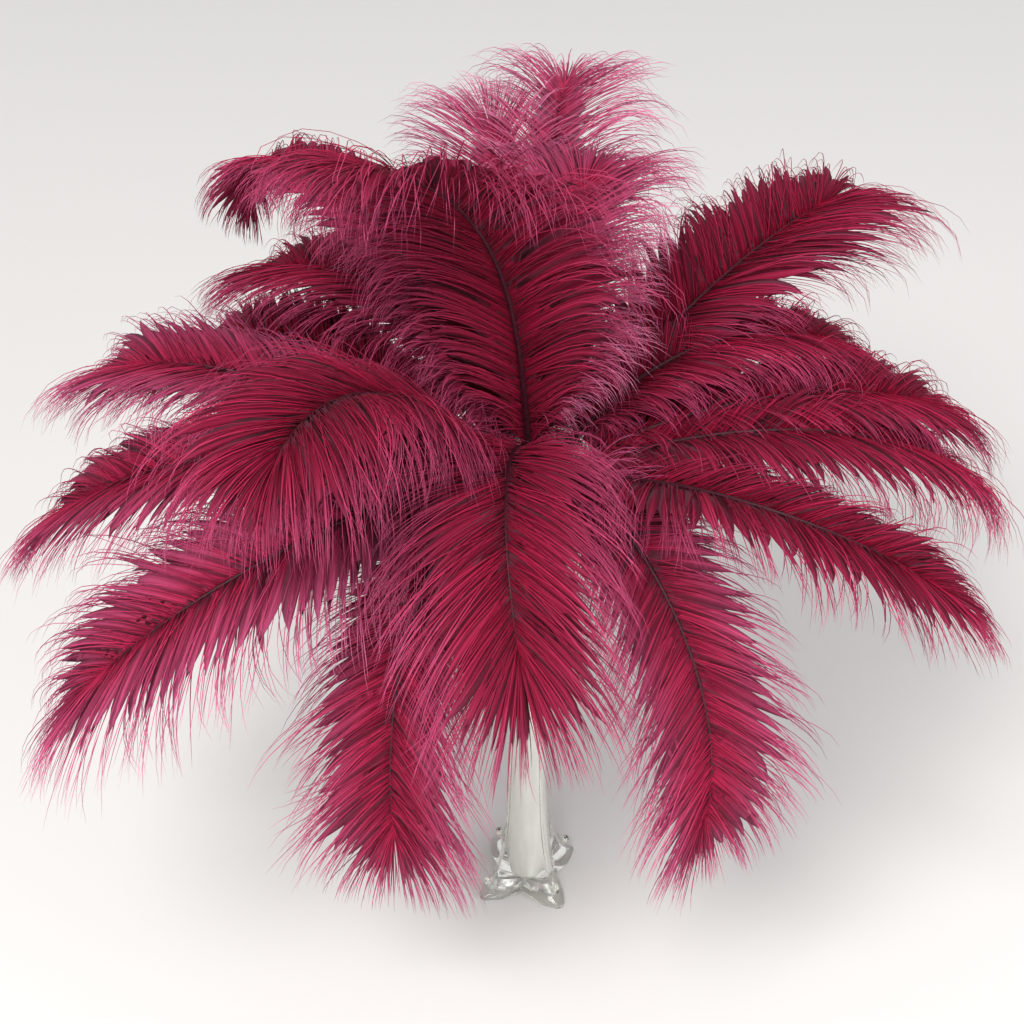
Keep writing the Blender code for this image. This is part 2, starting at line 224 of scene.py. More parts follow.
def tubes(lines, wide, thin, ups, sides, twist=0.0):
    """Closed tubes along many lines (tube, step, xyz), with half sizes wide and thin (tube, step)."""
    tangents = unit(np.gradient(lines, axis=1))
    flat = unit(np.cross(tangents, ups[:, None, :]))
    raised = np.cross(flat, tangents)
    turn, rise = np.cos(twist)[..., None, None], np.sin(twist)[..., None, None]
    across, over = flat * turn + raised * rise, raised * turn - flat * rise
    angles = np.radians(90.0) + np.arange(sides) * (2 * math.pi / sides)
    broad = across[:, :, None] * (np.cos(angles)[:, None] * wide[:, :, None, None])
    high = over[:, :, None] * (np.sin(angles)[:, None] * thin[:, :, None, None])
    return tube_faces(lines[:, :, None] + broad + high)


print("tube helpers ready")

# %% [markdown]
# ## How a barb lies
#
# The barbs of an ostrich plume never hook together as a flight feather's do, so each one
# bends on its own. It leaves the shaft sideways and a little forwards, and its weight then
# pulls its end down. It is soft, so it also waves a little on the way. Barbs are short and
# fluffy at the vane's foot, long over its middle, and shorter and swept forwards at its tip.

# %% How barbs change along the vane
FLUFF_SHARE = -0.09  # soft short barbs start this far below the vane's foot
# Share of the vane, and the barbs' length there as a share of the longest ones
BARB_REACH = [
    (FLUFF_SHARE, 0.42),
    (0.0, 0.58),
    (0.12, 0.84),
    (0.35, 1.0),
    (0.85, 1.04),
    (0.94, 0.88),
    (1.0, 0.70),
]
# Share of the vane, and how many degrees the barbs lean there towards the plume's tip
BARB_SWEEP = [
    (FLUFF_SHARE, 60.0),
    (0.0, 42.0),
    (0.12, 34.0),
    (0.3, 36.0),
    (0.8, 44.0),
    (0.94, 56.0),
    (1.0, 87.0),
]


def along_vane(share, table):
    """The table's value at each share of the vane."""
    places, values = zip(*table)
    return np.interp(share, places, values)


print("barbs are longest at", max(BARB_REACH, key=lambda row: row[1])[0], "of the vane")

# %% The vane's own directions
VANE_START = 0.160  # distance of the vane's foot from the quill's end
ROLL_RATE = 5.0


def vane_frame(plume, share):
    """Shaft points, directions, sideways and up directions at these shares of the vane."""
    points, along, side = shaft_line(plume, VANE_START + share * (plume.length - VANE_START))
    along = unit(along)
    up = unit(np.cross(side, along))
    side = unit(np.cross(along, up))
    angle = np.radians(plume.roll * (1 - np.clip(share, 0.0, 1.0) ** ROLL_RATE))[:, None]
    return points, along, side * np.cos(angle) + up * np.sin(angle), up * np.cos(angle) - side * np.sin(angle)


print("vanes start", VANE_START - IN_VASE, "m above the lip")

# %% Barb paths
BARB_STEPS = 8
BARB_STEP_SHARES = np.linspace(0.0, 1.0, BARB_STEPS + 1)
BARB_BEND = 1.5  # above 1, a barb goes outwards first and bends down late
END_PULL = 0.20  # the thin end of a barb hangs more than the rest
END_PULL_RATE = 4
MOST_PULL = 0.95
WAVE = 0.13  # how far a barb's direction swings from side to side
WAVE_TURN = 4.6  # how much of a wave a barb makes, in radians
LIP_ROOM = (0.060, 0.513)  # barbs over the vase's mouth rest on this radius and height
DOWN = np.array([0.0, 0.0, -1.0])

# Place along the vane, length, degrees towards the tip, how much it hangs, how much it rises
# from the vane's plane, how much its end flicks towards the tip, and the phase of its wave
Barbs = namedtuple("Barbs", "share reach sweep droop lift flick phase")


def barb_lines(plume, way, barbs):
    """The lines of many barbs on one side of a plume, and the vane's up direction at each."""
    roots, along, side, up = vane_frame(plume, barbs.share)
    angle = np.radians(barbs.sweep)[:, None]
    start = way * side * np.cos(angle) + along * np.sin(angle) + up * barbs.lift[:, None]
    steps = BARB_STEP_SHARES
    pull = barbs.droop[:, None] * steps**BARB_BEND + END_PULL * steps**END_PULL_RATE
    pull = np.minimum(pull, MOST_PULL)[..., None]
    wave = WAVE * steps * np.sin(barbs.phase[:, None] + WAVE_TURN * steps)
    bend = barbs.flick[:, None] * steps**2 + wave
    directions = start[:, None] * (1 - pull) + DOWN * pull
    directions = unit(directions + along[:, None] * bend[..., None])
    moves = (directions[:, 1:] + directions[:, :-1]) / 2 * (barbs.reach / BARB_STEPS)[:, None, None]
    from_root = np.concatenate([np.zeros((len(moves), 1, 3)), np.cumsum(moves, axis=1)], axis=1)
    lines = roots[:, None] + from_root
    over_mouth = np.hypot(lines[..., 0], lines[..., 1]) < LIP_ROOM[0]
    lines[..., 2] = np.where(over_mouth, np.maximum(lines[..., 2], LIP_ROOM[1]), lines[..., 2])
    return lines, up


print("a barb has", BARB_STEPS, "steps")

# %% [markdown]
# ## Neighbours
#
# Where two plumes lie side by side, neither can fill the other's place: their vanes meet
# about midway and the ends of the barbs mingle. We measure, along each lock, where a
# neighbour's shaft becomes nearer than its own, and let the barbs run on some way past it.

# %% Room for each lock
MINGLE = 0.068  # how far barbs run on past the place where a neighbour's shaft is nearer


def distance_to_line(points, line):
    """Distance from each point to the nearest place on a line of points."""
    start, step = line[:-1], np.diff(line, axis=0)
    from_start = points[:, None, :] - start[None]
    share = np.clip((from_start * step).sum(-1) / (step**2).sum(-1), 0.0, 1.0)
    return np.linalg.norm(from_start - share[..., None] * step, axis=-1).min(axis=1)


def room_for(plume, lines, reach):
    """How long each lock can grow, from its line and its full reach."""
    points = lines.reshape(-1, 3)
    own = distance_to_line(points, shaft_lines[plume.name])
    others = [distance_to_line(points, line) for name, line in shaft_lines.items() if name != plume.name]
    crowded = (np.min(others, axis=0) < own).reshape(lines.shape[:2])
    last = lines.shape[1] - 1
    first = np.where(crowded.any(axis=1), crowded.argmax(axis=1), last)
    return np.minimum(reach, reach * first / last + MINGLE)


print("barbs mingle over", MINGLE, "m")

# %% [markdown]
# ## Locks
#
# Barbs near each other cling, because their fine fluff tangles, and they bend the same way.
# A vane of barbs that each go their own way looks like a brush. So we first draw locks, each
# a leading barb with its own sweep, droop and wave, and later hang eight barbs on each.
# All random draws come from one seeded generator a plume, so the bouquet never changes.

# %% Leading barbs
LOCKS = 44
LOCK_PLACES = ((0.0, 0.84, 1.0), (FLUFF_SHARE, 0.93, 1.0))  # the last locks crowd round the tip
# How much each value differs from lock to lock
LOCK_SPREAD = Barbs(share=0.3, reach=0.06, sweep=1.8, droop=0.04, lift=0.05, flick=0.22, phase=0.7)
LOCK_DROOP = (0.05, 0.9)  # least and most
LIFT = 0.12  # barbs rise this much from the vane's plane as they leave the shaft
LOCK_WAVES = 9.0  # how much the phase of the waves changes along the vane
WHOLE_TURN = 6.3
MIDDLE_TONE = 0.5
LOCK_TONE_SPREAD = 0.13

Locks = namedtuple("Locks", "barbs tone lines")


def draw_locks(plume, way, chance):
    """The leading barbs of one side of a plume, with their tones and lines."""
    spread = LOCK_SPREAD
    place = (np.arange(LOCKS) + 0.5 + chance.uniform(-spread.share, spread.share, LOCKS)) / LOCKS
    share = np.interp(place, *LOCK_PLACES)
    barbs = Barbs(
        share=share,
        reach=plume.barb * along_vane(share, BARB_REACH) * chance.normal(1.0, spread.reach, LOCKS),
        sweep=along_vane(share, BARB_SWEEP) + chance.normal(0.0, spread.sweep, LOCKS),
        droop=np.clip(plume.droop + chance.normal(0.0, spread.droop, LOCKS), *LOCK_DROOP),
        lift=LIFT + chance.normal(0.0, spread.lift, LOCKS),
        flick=chance.normal(0.0, spread.flick, LOCKS),
        phase=np.linspace(0.0, LOCK_WAVES, LOCKS)
        + chance.uniform(0.0, WHOLE_TURN)
        + chance.normal(0.0, spread.phase, LOCKS),
    )
    lines, _ = barb_lines(plume, way, barbs)
    barbs = barbs._replace(reach=room_for(plume, lines, barbs.reach))
    lines, _ = barb_lines(plume, way, barbs)
    return Locks(barbs, MIDDLE_TONE + chance.normal(0.0, LOCK_TONE_SPREAD, LOCKS), lines)


print(2 * LOCKS, "locks a plume")

# %% [markdown]
# ## Strands
#
# The visible barbs are strands about a millimetre wide. Each starts from its lock's values
# with a little of its own, is drawn towards its lock near its end, and now and then one
# strays. Half of them lie just above the vane's plane and half just below, so that the light
# falls between them and draws each one. At the vane's foot loose fluff falls over the lip.

# %% Lines of strands and fluff
BARBS_IN_LOCK = 8
LOCK_OVERLAP = 1.2  # how wide a lock stands, as a share of the distance between locks
# How much each value differs from strand to strand in a lock
STRAND_SPREAD = Barbs(share=0.5, reach=0.08, sweep=5.0, droop=0.06, lift=0.08, flick=0.12, phase=0.35)
STRAND_REACH = 0.97  # as a share of its lock's
STRAND_DROOP = (0.03, 0.92)
CLING_RATE = 2.6
CLING_SPREAD = (0.7, 1.2)
STRAYS = 0.07  # share of the strands that don't cling
WOBBLE = 0.0009  # a slow wander of its own, in metres at the strand's end
WOBBLE_TURN = (3.0, 7.0)
STRAND_ROOM = 0.0008  # strands lie this far above and below the web
STRAND_TONE_SPREAD = 0.15
FLUFF_STRANDS = 24
FLUFF_LENGTH = 0.058
# Least and most share, reach, droop and phase, and middle and spread of sweep, lift and flick
FLUFF = Barbs(
    share=(FLUFF_SHARE, 0.05),
    reach=(0.5, 1.2),
    sweep=(10.0, 30.0),
    droop=(0.35, 0.85),
    lift=(0.2, 0.3),
    flick=(0.0, 0.4),
    phase=(0.0, WHOLE_TURN),
)
FLUFF_TONES = (0.1, 0.5)


def strand_lines(plume, way, locks, cling, chance):
    """Lines of the strands in all locks of one side, with their up directions and tones."""
    lock = np.repeat(np.arange(LOCKS), BARBS_IN_LOCK)
    count, spread, lead = len(lock), STRAND_SPREAD, locks.barbs
    offset = np.tile((np.arange(BARBS_IN_LOCK) + 0.5) / BARBS_IN_LOCK - 0.5, LOCKS)
    offset = offset + chance.uniform(-spread.share, spread.share, count) / BARBS_IN_LOCK
    barbs = Barbs(
        share=np.clip(lead.share[lock] + offset * LOCK_OVERLAP / LOCKS, FLUFF_SHARE, 1.0),
        reach=lead.reach[lock] * chance.normal(STRAND_REACH, spread.reach, count),
        sweep=lead.sweep[lock] + chance.normal(0.0, spread.sweep, count),
        droop=np.clip(lead.droop[lock] + chance.normal(0.0, spread.droop, count), *STRAND_DROOP),
        lift=lead.lift[lock] + chance.normal(0.0, spread.lift, count),
        flick=lead.flick[lock] + chance.normal(0.0, spread.flick, count),
        phase=lead.phase[lock] + chance.normal(0.0, spread.phase, count),
    )
    lines, ups = barb_lines(plume, way, barbs)
    steps = BARB_STEP_SHARES
    strays = chance.random(count) < STRAYS
    cling = np.where(strays, 0.0, cling * chance.uniform(*CLING_SPREAD, count))
    lines += (locks.lines[lock] - lines) * (cling[:, None] * steps**CLING_RATE)[..., None]
    wobble = steps * chance.uniform(*WOBBLE_TURN, (count, 1)) + chance.uniform(0.0, WHOLE_TURN, (count, 1))
    lines += chance.normal(0.0, WOBBLE, (count, 1, 3)) * (np.sin(wobble) * steps)[..., None]
    lines += (ups * chance.choice([-1.0, 1.0], count)[:, None] * STRAND_ROOM)[:, None]
    return lines, ups, np.clip(locks.tone[lock] + chance.normal(0.0, STRAND_TONE_SPREAD, count), 0.0, 1.0)


def fluff_lines(plume, way, chance):
    """Loose short barbs at the vane's foot, which fall over the vase's lip in all directions."""
    barbs = Barbs(
        share=chance.uniform(*FLUFF.share, FLUFF_STRANDS),
        reach=FLUFF_LENGTH * chance.uniform(*FLUFF.reach, FLUFF_STRANDS),
        sweep=chance.normal(*FLUFF.sweep, FLUFF_STRANDS),
        droop=chance.uniform(*FLUFF.droop, FLUFF_STRANDS),
        lift=chance.normal(*FLUFF.lift, FLUFF_STRANDS),
        flick=chance.normal(*FLUFF.flick, FLUFF_STRANDS),
        phase=chance.uniform(*FLUFF.phase, FLUFF_STRANDS),
    )
    lines, ups = barb_lines(plume, way, barbs)
    return lines, ups, chance.uniform(*FLUFF_TONES, FLUFF_STRANDS)


print(2 * (LOCKS * BARBS_IN_LOCK + FLUFF_STRANDS), "strands a plume")

# %% [markdown]
# ## Webs
#
# A real plume has thousands of barbs, far more than we can afford as strands. The mass of
# them reads as a dark soft ground behind the lit strands. A thin pointed web in each lock
# stands for it: it overlaps the next one's edge, stops short of the strands' ends, and its
# colour has fine streaks across. It is painted darker than the strands, a painted shade for the
# depth of the vane. Webs alone would look like leaves, strands alone like wire.
#
# Each mesh carries three numbers a point for the dye and its painted light and shade: `share`,
# how far along the barb it is, `tone`, how light its barb is, and `band`, how far across a web.

# %% Strand, web and shaft meshes
BARB_HALF_WIDTH = 0.00048
BARB_HALF_DEPTH = 0.00030
BARB_TAPER = np.array([0.8, 1.0, 1.0, 1.0, 0.97, 0.90, 0.75, 0.52, 0.08])
STRAND_TWIST = 0.45
DARKER_SHARE = 0.75  # how far along the dye's ramp the ends of the darker plumes come
PALER_TONE = 0.6  # how much lighter the strands of a paler plume are painted: partly less dye, partly painted light
WEB_WIDENING = np.array([1.3, 1.3, 1.3, 1.3, 1.2, 1.05, 0.80, 0.45, 0.03])
WEB_DEPTH = 0.0006
WEB_SHADE_TONE = 0.4  # webs are painted this much darker than their strands, a painted shade for the vane's depth
WEB_SHARE = 0.5  # and come only this far along the dye's ramp, which keeps them darker: also painted shade
WEB_PALER_SHARE = 1.4
SHAFT_SIDES = 8
SHAFT_STEPS = 40
SHAFT_RADII = (0.0021, 0.0024, 0.0007)  # at the quill's end, at the lip and at the tip
THICK_SHAFTS = {"crown_front": 1.35}


def strand_mesh(lines, ups, tones, paler, chance):
    """Flat tapering strands: at first narrow, soon full, and drawn out to a point."""
    wide = np.tile(BARB_HALF_WIDTH * BARB_TAPER, (len(lines), 1))
    thin = np.tile(BARB_HALF_DEPTH * BARB_TAPER, (len(lines), 1))
    points, triangles = tubes(lines, wide, thin, ups, 3, chance.normal(0.0, STRAND_TWIST, len(lines)))
    # A paler plume runs further along the ramp and is lighter: partly less dye, partly painted light.
    share = np.repeat(np.tile(BARB_STEP_SHARES * DARKER_SHARE + paler, len(lines)), 3)
    tone = np.repeat(tones + paler * PALER_TONE, 3 * (BARB_STEPS + 1))
    return points, triangles, {"share": share, "tone": tone, "band": np.zeros(len(points))}


def web_mesh(locks, ups, reach, paler):
    """The mass of fine barbs amid the strands: one web a lock, edge over edge with the next."""
    inner = BARB_STEP_SHARES * reach * BARB_STEPS
    low = np.minimum(inner.astype(int), BARB_STEPS - 1)
    lines = locks.lines
    lines = lines[:, low] + (lines[:, low + 1] - lines[:, low]) * (inner - low)[None, :, None]
    middle = (lines[1:] + lines[:-1]) / 2
    before = np.concatenate([2 * lines[:1] - middle[:1], middle])
    after = np.concatenate([middle, 2 * lines[-1:] - middle[-1:]])
    tangents = unit(np.gradient(lines, axis=1))
    over = unit(ups[:, None] - tangents * (ups[:, None] * tangents).sum(-1, keepdims=True))
    left = lines + (before - lines) * WEB_WIDENING[None, :, None]
    right = lines + (after - lines) * WEB_WIDENING[None, :, None]
    points, triangles = tube_faces(np.stack([left, right, lines - over * WEB_DEPTH], axis=2))
    # Webs come only part way along the ramp and are darker than their strands: painted shade for the depth of
    # the vane. A paler plume's webs are lighter, partly from less dye and partly painted light.
    share = np.repeat(np.tile(BARB_STEP_SHARES * WEB_SHARE + paler * WEB_PALER_SHARE, LOCKS), 3)
    tone = np.repeat(locks.tone * WEB_SHADE_TONE + paler, 3 * (BARB_STEPS + 1))
    band = np.tile([-1.0, 1.0, 0.0], len(points) // 3)
    return points, triangles, {"share": share, "tone": tone, "band": band}


def shaft_mesh(plume):
    """The bare shaft, a closed tapering tube from the quill's end to the plume's tip."""
    distances = np.linspace(0.0, plume.length, SHAFT_STEPS)
    line, along, side = shaft_line(plume, distances)
    radii = np.interp(distances, [0.0, IN_VASE, plume.length], SHAFT_RADII)[None]
    radii = radii * THICK_SHAFTS.get(plume.name, 1.0)
    up = np.cross(side, along)[SHAFT_STEPS // 2]
    points, triangles = tubes(line[None], radii, radii, up[None], SHAFT_SIDES)
    blank = np.zeros(len(points))
    return points, triangles, {"share": blank, "tone": blank, "band": blank}


print("a strand has", 6 * BARB_STEPS + 2, "triangles")

# %% [markdown]
# ## Dye, with painted light and shade
#
# Burgundy dye sits unevenly on a plume. The thin ends let light through and look pink, the
# thick roots look like wine, and some plumes are paler, partly from less dye and partly as
# painted light on the plumes that catch more of it. A single colour would look like plastic,
# so the colour runs along each barb on a ramp, each barb has its own tone, and noise stretched
# along the webs draws the barbs that are too fine to model. The ramp carries painted shade and
# light too: it is darker near the shaft, a painted shade for the depth of the vane, and pinker
# at the ends, painted light where they are lit. A share of the light passes through the barbs,
# which gives the vane its red glow from within.

# %% The dye on the barbs, with painted light and shade
# The ramp from root to end is partly dye and partly painted light and shade: the root colour is a painted
# shade for the depth of the vane, the end colour painted light on the lit ends.
ROOT_DYE_AND_SHADE = (0.220, 0.003, 0.022)
MIDDLE_DYE = (0.360, 0.018, 0.064)
END_DYE_AND_LIGHT = (0.430, 0.072, 0.170)
# the pale end of the ramp, reached by the paler plumes: partly less dye, partly painted light
PALE_DYE_AND_LIGHT = (0.530, 0.180, 0.300)
MIDDLE_SHARE = 0.35
TONE_RANGE = (0.40, 1.60)  # how light the darkest and the lightest tones make the dye
STREAKS_IN_WEB = 7.0
STREAK_DEPTH = 0.20
STREAK_NOISE = (0.35, 0.65)  # the part of the noise that is used
TONES_APART = 90.0  # keeps the streaks of one web from lining up with the next one's
SHEEN_TINT = (1.0, 0.45, 0.65, 1.0)


def new_finish(name):
    finish = bpy.data.materials.new(name)
    finish.use_nodes = True
    nodes = finish.node_tree.nodes
    nodes.clear()
    return finish, nodes, finish.node_tree.links


def ramp(nodes, stops):
    """A colour ramp node from pairs of place and colour."""
    node = nodes.new("ShaderNodeValToRGB")
    elements = node.color_ramp.elements
    while len(elements) < len(stops):
        elements.new(0.5)
    for element, (place, colour) in zip(elements, stops):
        element.position = place
        element.color = (*colour, 1.0)
    return node


def number_layer(nodes, name):
    """The node that reads one of the mesh's numbers."""
    node = nodes.new("ShaderNodeAttribute")
    node.attribute_name = name
    return node.outputs["Fac"]


def math_node(nodes, links, operation, first, second):
    """A node that works out one number from a socket and a number or another socket."""
    node = nodes.new("ShaderNodeMath")
    node.operation = operation
    links.new(first, node.inputs[0])
    if isinstance(second, float):
        node.inputs[1].default_value = second
    else:
        links.new(second, node.inputs[1])
    return node.outputs["Value"]


def map_range(nodes, links, source, before, after):
    """A node that stretches one range of numbers to another."""
    node = nodes.new("ShaderNodeMapRange")
    node.inputs["From Min"].default_value, node.inputs["From Max"].default_value = before
    node.inputs["To Min"].default_value, node.inputs["To Max"].default_value = after
    links.new(source, node.inputs["Value"])
    return node.outputs["Result"]


def web_streaks(nodes, links, share, tone, band):
    """Noise drawn out along the barbs, from -STREAK_DEPTH to STREAK_DEPTH."""
    place = nodes.new("ShaderNodeCombineXYZ")
    links.new(math_node(nodes, links, "MULTIPLY", band, STREAKS_IN_WEB), place.inputs["X"])
    links.new(share, place.inputs["Y"])
    links.new(math_node(nodes, links, "MULTIPLY", tone, TONES_APART), place.inputs["Z"])
    noise = nodes.new("ShaderNodeTexNoise")
    noise.inputs["Scale"].default_value = 1.0
    noise.inputs["Detail"].default_value = 2.0
    links.new(place.outputs["Vector"], noise.inputs["Vector"])
    return map_range(nodes, links, noise.outputs["Fac"], STREAK_NOISE, (-STREAK_DEPTH, STREAK_DEPTH))


def barb_finish():
    finish, nodes, links = new_finish("burgundy_barbs")
    share, tone, band = (number_layer(nodes, name) for name in ("share", "tone", "band"))
    # the dye ramp, with painted shade near the shaft and painted light at the ends
    dye = ramp(nodes, [(0.0, ROOT_DYE_AND_SHADE), (MIDDLE_SHARE, MIDDLE_DYE), (DARKER_SHARE, END_DYE_AND_LIGHT), (1.0, PALE_DYE_AND_LIGHT)])
    links.new(share, dye.inputs["Fac"])
    streaks = web_streaks(nodes, links, share, tone, band)
    lightness = map_range(nodes, links, tone, (0.0, 1.0), TONE_RANGE)
    shade = nodes.new("ShaderNodeHueSaturation")
    links.new(math_node(nodes, links, "ADD", streaks, lightness), shade.inputs["Value"])
    links.new(dye.outputs["Color"], shade.inputs["Color"])
    surface = nodes.new("ShaderNodeBsdfPrincipled")
    surface.inputs["Roughness"].default_value = 0.6
    surface.inputs["Specular IOR Level"].default_value = 0.06
    surface.inputs["Sheen Weight"].default_value = 0.06
    surface.inputs["Sheen Roughness"].default_value = 0.4
    surface.inputs["Sheen Tint"].default_value = SHEEN_TINT
    links.new(shade.outputs["Color"], surface.inputs["Base Color"])
    through = nodes.new("ShaderNodeBsdfTranslucent")
    links.new(shade.outputs["Color"], through.inputs["Color"])
    mix = nodes.new("ShaderNodeMixShader")
    mix.inputs["Fac"].default_value = 0.25
    links.new(surface.outputs["BSDF"], mix.inputs[1])
    links.new(through.outputs["BSDF"], mix.inputs[2])
    output = nodes.new("ShaderNodeOutputMaterial")
    links.new(mix.outputs["Shader"], output.inputs["Surface"])
    return finish


barbs_burgundy = barb_finish()
print(barbs_burgundy.name, "has", len(barbs_burgundy.node_tree.nodes), "nodes")

# %% [markdown]
# ## Shafts in wine
#
# The shaft takes the dye deeply and dries almost black, with a slight polish. Streaks of
# noise between two near-black wines keep it from looking like painted wire.

# %% The finish of the shafts
DARK_WINE = (0.010, 0.001, 0.003)
WINE = (0.050, 0.003, 0.012)


def shaft_finish():
    finish, nodes, links = new_finish("wine_dark_shafts")
    streaks = nodes.new("ShaderNodeTexNoise")
    streaks.inputs["Scale"].default_value = 160.0
    streaks.inputs["Detail"].default_value = 4.0
    tint = ramp(nodes, [(0.3, DARK_WINE), (0.7, WINE)])
    links.new(streaks.outputs["Fac"], tint.inputs["Fac"])
    surface = nodes.new("ShaderNodeBsdfPrincipled")
    surface.inputs["Roughness"].default_value = 0.50
    surface.inputs["Specular IOR Level"].default_value = 0.25
    links.new(tint.outputs["Color"], surface.inputs["Base Color"])
    output = nodes.new("ShaderNodeOutputMaterial")
    links.new(surface.outputs["BSDF"], output.inputs["Surface"])
    return finish


shafts_wine = shaft_finish()
print(shafts_wine.name, "has", len(shafts_wine.node_tree.nodes), "nodes")

# %% [markdown]
# ## Growing the plumes
#
# A plume is its shaft, and on each side its webs, strands and fluff, joined into one mesh
# that takes the place of the plain model's solid. Most plumes look alike, but some are paler
# or hang more loosely, and the light shines through the open ones at the crown. The paler
# colour is partly less dye and partly painted light, on the low front plumes and the open
# crown plumes that catch more light. A short table names those, and all the others share one look.

# %% Grow all the plumes
# paler lightens a plume's colour: partly less dye, partly painted light where the plume catches more light
Look = namedtuple("Look", "web_reach paler cling")
USUAL_LOOK = Look(web_reach=0.70, paler=0.0, cling=0.42)
OTHER_LOOKS = {
    "crown_back_right": Look(0.30, 0.40, 0.36),
    "crown_back_left": Look(0.30, 0.38, 0.36),
    "crown_back_mid": Look(0.60, 0.26, 0.40),
    "upper_right": Look(0.72, 0.0, 0.50),
    "back_left_curl": Look(0.72, 0.06, 0.50),
    "left_low": Look(0.62, 0.24, 0.25),
    "front_right": Look(0.66, 0.18, 0.30),
    "front_left": Look(0.66, 0.16, 0.25),
    "front": Look(0.66, 0.04, 0.35),
    "left_far": Look(0.70, 0.20, 0.40),
    "left_side": Look(0.74, 0.14, 0.40),
}
FIRST_SEED = 100


def grow_plume(plume, seed):
    chance = np.random.default_rng(seed)
    look = OTHER_LOOKS.get(plume.name, USUAL_LOOK)
    parts = [shaft_mesh(plume)]
    for way in (-1.0, 1.0):
        locks = draw_locks(plume, way, chance)
        ups = vane_frame(plume, locks.barbs.share)[3]
        parts.append(web_mesh(locks, ups, look.web_reach, look.paler))
        parts.append(strand_mesh(*strand_lines(plume, way, locks, look.cling, chance), look.paler, chance))
        parts.append(strand_mesh(*fluff_lines(plume, way, chance), look.paler, chance))
    points, triangles, layers = joined(parts)
    piece = new_mesh_object("plume_" + plume.name, points, triangles, layers)
    piece.data.materials.append(barbs_burgundy)
    piece.data.materials.append(shafts_wine)
    finishes = np.zeros(len(triangles), dtype=np.int32)
    finishes[: len(parts[0][1])] = 1
    piece.data.polygons.foreach_set("material_index", finishes)
    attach(piece, "root")
    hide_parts("feather_" + plume.name)
    return piece


plume_pieces = [grow_plume(plume, FIRST_SEED + number) for number, plume in enumerate(PLUMES)]
print(sum(len(piece.data.polygons) for piece in plume_pieces), "triangles in", len(plume_pieces), "plumes")

# %% [markdown]
# ## The vase
#
# The maker blows a white tube, gathers clear glass over it, pulls four feet out of the clear
# glass while it is soft, and opens the mouth like a trumpet. The clear layer is thick at the
# foot and thin at the stem. A turned profile can't give the feet, so the clear glass is a
# loft: at each height a ring whose radius swells at four headings. The white core is round.
# The two glasses are melted together, so the clear one reaches a little into the white: a
# gap of air between them would show as a silver line.

# %% Profiles of the vase
VASE_HEIGHT = 0.508
# Height, radius between two ridges, and radius on a ridge
CASING_PROFILE = [
    (0.0048, 0.0030, 0.0030),
    (0.0045, 0.0180, 0.0280),
    (0.0014, 0.0245, 0.0480),
    (0.0000, 0.0272, 0.0545),
    (0.0014, 0.0290, 0.0575),
    (0.0040, 0.0296, 0.0572),
    (0.0070, 0.0290, 0.0535),
    (0.0110, 0.0278, 0.0470),
    (0.0180, 0.0258, 0.0410),
    (0.0260, 0.0240, 0.0365),
    (0.0500, 0.0215, 0.0290),
    (0.0850, 0.0190, 0.0235),
    (0.1500, 0.0170, 0.0200),
    (0.2600, 0.0156, 0.0172),
    (0.3400, 0.0163, 0.0174),
    (0.4000, 0.0202, 0.0208),
    (0.4500, 0.0285, 0.0287),
    (0.4850, 0.0410, 0.0410),
    (0.5060, 0.0545, 0.0545),
    (VASE_HEIGHT, 0.0540, 0.0540),
]
# Height and radius of the white core's outside
CORE_PROFILE = [
    (0.010, 0.0090),
    (0.014, 0.0145),
    (0.028, 0.0168),
    (0.100, 0.0153),
    (0.180, 0.0134),
    (0.260, 0.0127),
    (0.340, 0.0134),
    (0.400, 0.0174),
    (0.450, 0.0258),
    (0.485, 0.0382),
    (VASE_HEIGHT, 0.0522),
]


def smooth_rows(rows, parts):
    """Rows of numbers with more rows between them, on a curve through the given ones."""
    rows = np.array(rows)
    lead = np.vstack([2 * rows[0] - rows[1], rows, 2 * rows[-1] - rows[-2]])
    result = []
    for i in range(1, len(lead) - 2):
        slope_here = (lead[i + 1] - lead[i - 1]) / 2
        slope_next = (lead[i + 2] - lead[i]) / 2
        for t in np.arange(parts) / parts:
            weights = [2 * t**3 - 3 * t**2 + 1, t**3 - 2 * t**2 + t, 3 * t**2 - 2 * t**3, t**3 - t**2]
            result.append(np.array(weights) @ np.vstack([lead[i], slope_here, lead[i + 1], slope_next]))
    return np.vstack(result + [rows[-1]])


print("vase", VASE_HEIGHT, "m high,", 2 * max(row[2] for row in CASING_PROFILE), "m across its feet")

# %% A loft over rings
RING_STEPS = 96
PARTS_BETWEEN_ROWS = 4
FEET = 4
FOOT_TURN = 36.0
CREST = 0.10  # how round the ridges and the feet's tips are
RIDGE_NARROWING = 1.1
RIDGE_SHARPNESS = 1.7


def ring(headings, radii, height):
    angles = np.radians(headings)
    return np.stack([radii * np.cos(angles), radii * np.sin(angles), np.full(len(headings), height)], axis=-1)


def round_ring(headings, radius, height):
    return ring(headings, np.full(len(headings), radius), height)


def ridge_share(headings):
    """1 on a ridge, falling to 0 midway between two ridges."""
    quarter = 360.0 / FEET
    offset = ((headings - FOOT_TURN + quarter / 2) % quarter - quarter / 2) / (quarter / 2)
    slope = (np.hypot(offset, CREST) - CREST) * RIDGE_NARROWING
    return np.clip(1.0 - slope, 0.0, 1.0) ** RIDGE_SHARPNESS


def skin(rings):
    """Points and triangles of a closed loft over rings, with its first and last rings filled."""
    return tube_faces(np.array(rings)[None])


ring_headings = FOOT_TURN + np.arange(RING_STEPS) * 360.0 / RING_STEPS
print(FEET, "ridges on rings of", RING_STEPS, "points")

